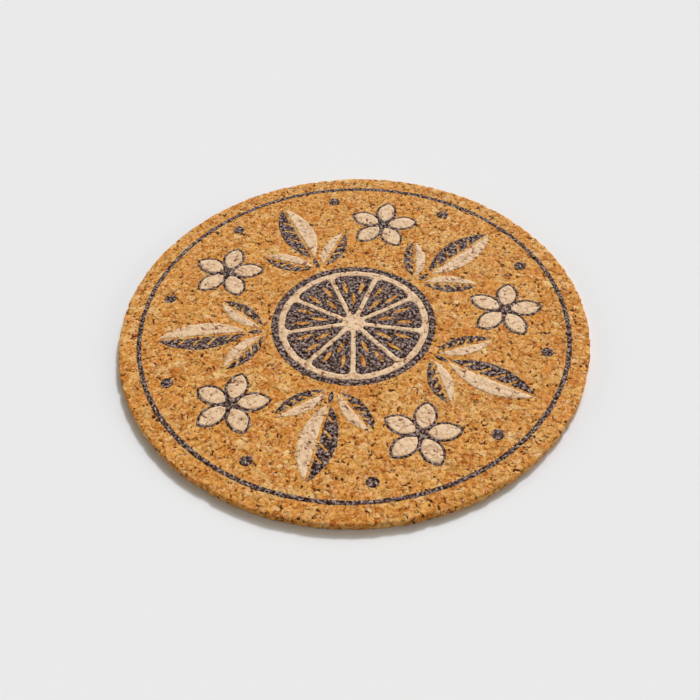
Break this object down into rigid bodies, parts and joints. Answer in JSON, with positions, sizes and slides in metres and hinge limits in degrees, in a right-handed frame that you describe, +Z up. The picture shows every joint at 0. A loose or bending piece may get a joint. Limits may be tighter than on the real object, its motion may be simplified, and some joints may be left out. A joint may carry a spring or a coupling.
{
  "type": "drink coaster",
  "caption": "Thin round coaster of pressed cork granules with a thin border line and a fruit and leaf print in dark and pale ink.",
  "frame": {"origin": "centre of the lower face, on the surface that the coaster lies on", "axes": "+Z up out of the printed face; +X along the middle of one long leaf of the print"},
  "size_m": [0.1, 0.1, 0.002],
  "materials": {
    "cork": "bare pressed cork granules, matt",
    "dark_ink": "purple-brown printed ink film, slightly shiny on the granules",
    "pale_ink": "cream printed ink film, matt"
  },
  "bodies": {
    "root": {"cork_disc": "cork", "border_line": "dark_ink", "wheel_rind": "dark_ink", "wheel_pith": "pale_ink", "wheel_segments": "dark_ink", "long_leaf_dark_halves": "dark_ink", "long_leaf_pale_halves": "pale_ink", "side_leaf_dark_halves": "dark_ink", "side_leaf_pale_halves": "pale_ink", "sprig_stems": "dark_ink", "blossom_petals": "pale_ink", "blossom_lines": "dark_ink", "berries": "dark_ink"}
  },
  "joints": []
}
